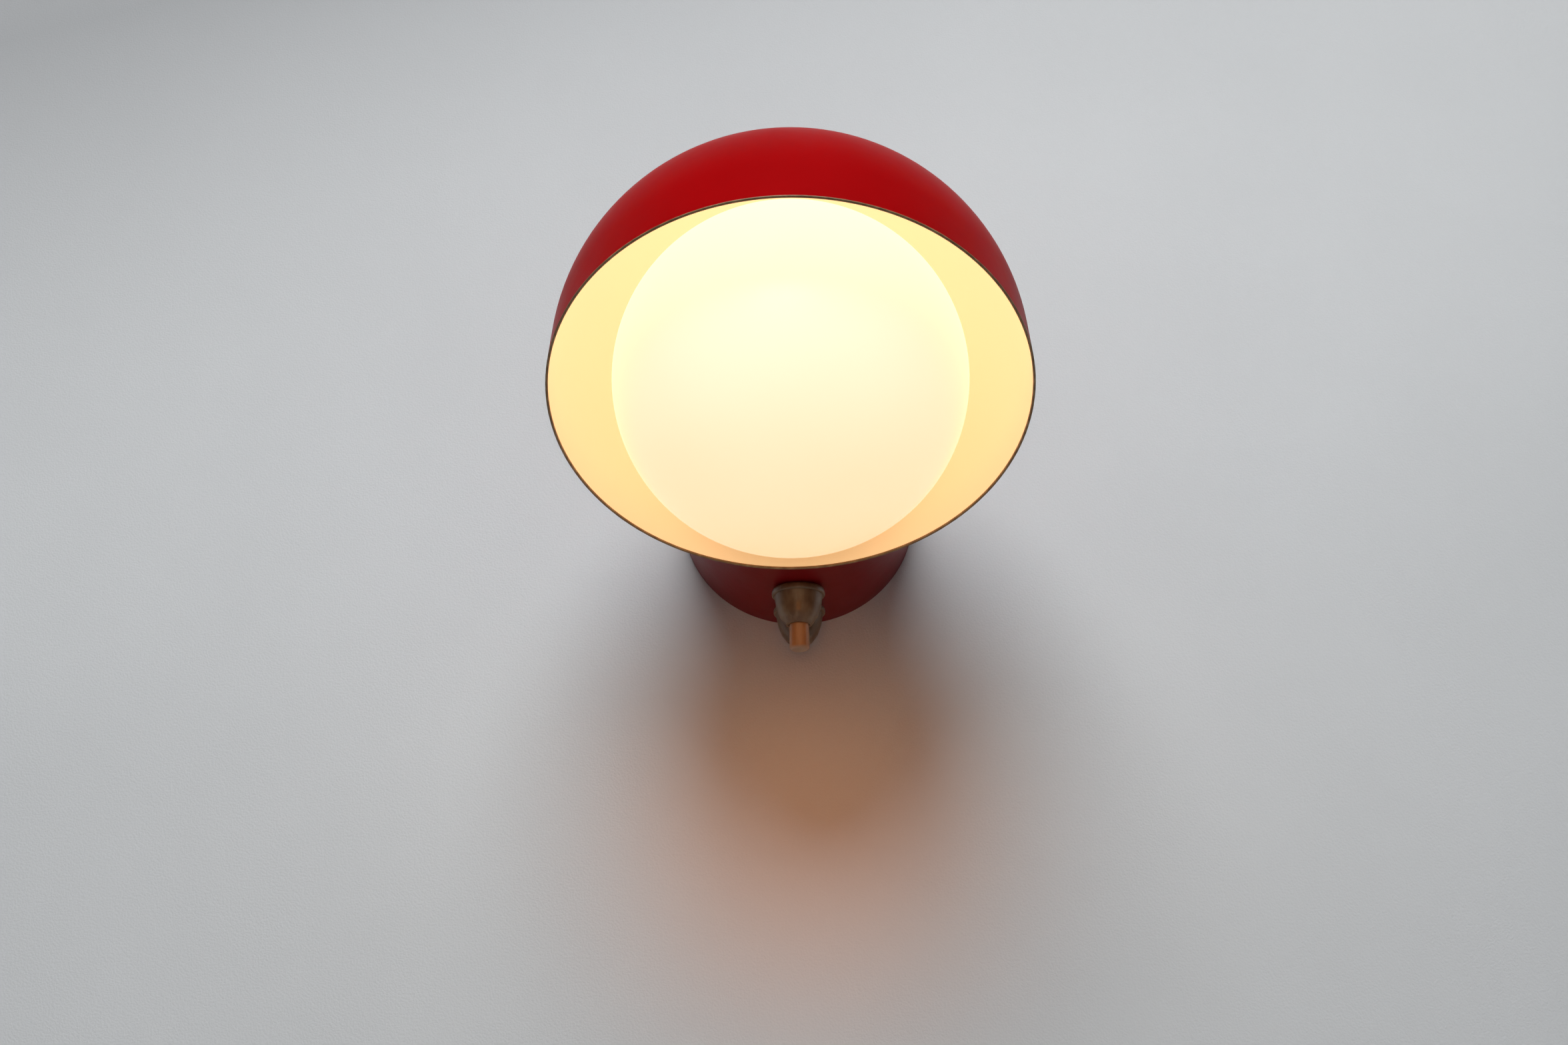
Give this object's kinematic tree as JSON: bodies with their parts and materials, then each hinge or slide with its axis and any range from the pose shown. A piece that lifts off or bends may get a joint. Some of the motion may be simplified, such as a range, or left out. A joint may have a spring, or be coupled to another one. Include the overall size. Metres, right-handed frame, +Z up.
{
  "type": "globe wall lamp",
  "caption": "Wall lamp with a round base, an opal glass globe and a red domed shade that turns and tilts around it, worked by a push button under the base.",
  "frame": {"origin": "middle of the base's back, on the wall", "axes": "-Y out from the wall along the base's axis, +Z up, +X to the right seen from the front"},
  "size_m": [0.186, 0.2486, 0.171],
  "materials": {
    "red_paint": "satin enamel, deep red",
    "zinc_steel": "zinc plated",
    "nickel_steel": "nickel plated",
    "brass": "plain brass",
    "gallery_brass": "lacquered brass",
    "phenolic": "dark phenolic",
    "inner_pad_white": "white enamel",
    "gasket_rubber": "matt",
    "opal_glass": "opal, glossy outside",
    "porcelain": "glazed white porcelain",
    "bulb_aluminium": "bare",
    "frosted_glass": "frosted inside",
    "ivory_plastic": "moulded, semi-gloss",
    "button_plastic": "moulded, semi-gloss",
    "spring_steel": "bright drawn wire",
    "terminal_plastic": "moulded",
    "brown_wire": "insulation",
    "blue_wire": "insulation",
    "green_wire": "insulation"
  },
  "bodies": {
    "base": {"base_shell": "red_paint", "wall_plate": "zinc_steel", "base_screws": "nickel_steel", "swivel_bridge": "zinc_steel", "nipple": "brass", "bridge_nut": "brass", "friction_nut": "brass", "gallery_nut": "brass", "spring_washer": "zinc_steel", "gallery": "gallery_brass", "gallery_screws": "nickel_steel", "globe_gasket": "gasket_rubber", "globe": "opal_glass", "lampholder_cap": "brass", "lampholder_body": "porcelain", "lampholder_shell": "brass", "centre_contact": "brass", "bulb_cap": "bulb_aluminium", "bulb_glass": "frosted_glass", "switch_bell": "ivory_plastic", "cord_bush": "ivory_plastic", "cord_bush_nut": "brass", "switch_body": "phenolic", "button_spring": "spring_steel", "switch_tabs": "brass", "terminal_block": "terminal_plastic", "terminal_screws": "brass", "earth_screw": "nickel_steel", "live_wire": "brown_wire", "switched_wire": "brown_wire", "neutral_wire": "blue_wire", "earth_wire": "green_wire"},
    "swivel": {"outer_pad": "phenolic", "inner_pad": "inner_pad_white"},
    "shade": {"shade": "red_paint"},
    "button": {"push_button": "button_plastic"}
  },
  "joints": [
    {"name": "shade_swivel", "type": "hinge", "parent": "base", "child": "swivel", "pos_m": [0, -0.1552, -0.0065], "axis": [0, -1, 0], "continuous": true},
    {"name": "shade_tilt", "type": "hinge", "parent": "swivel", "child": "shade", "pos_m": [0, -0.1552, -0.0065], "axis": [-1, 0, 0], "range_deg": [-6, 20]},
    {"name": "button_press", "type": "slide", "parent": "base", "child": "button", "axis": [0, 0, 1], "range_m": [0, 0.003], "stiffness_N_per_m": 300, "springref_m": -0.003, "deforming": ["button_spring"]}
  ]
}
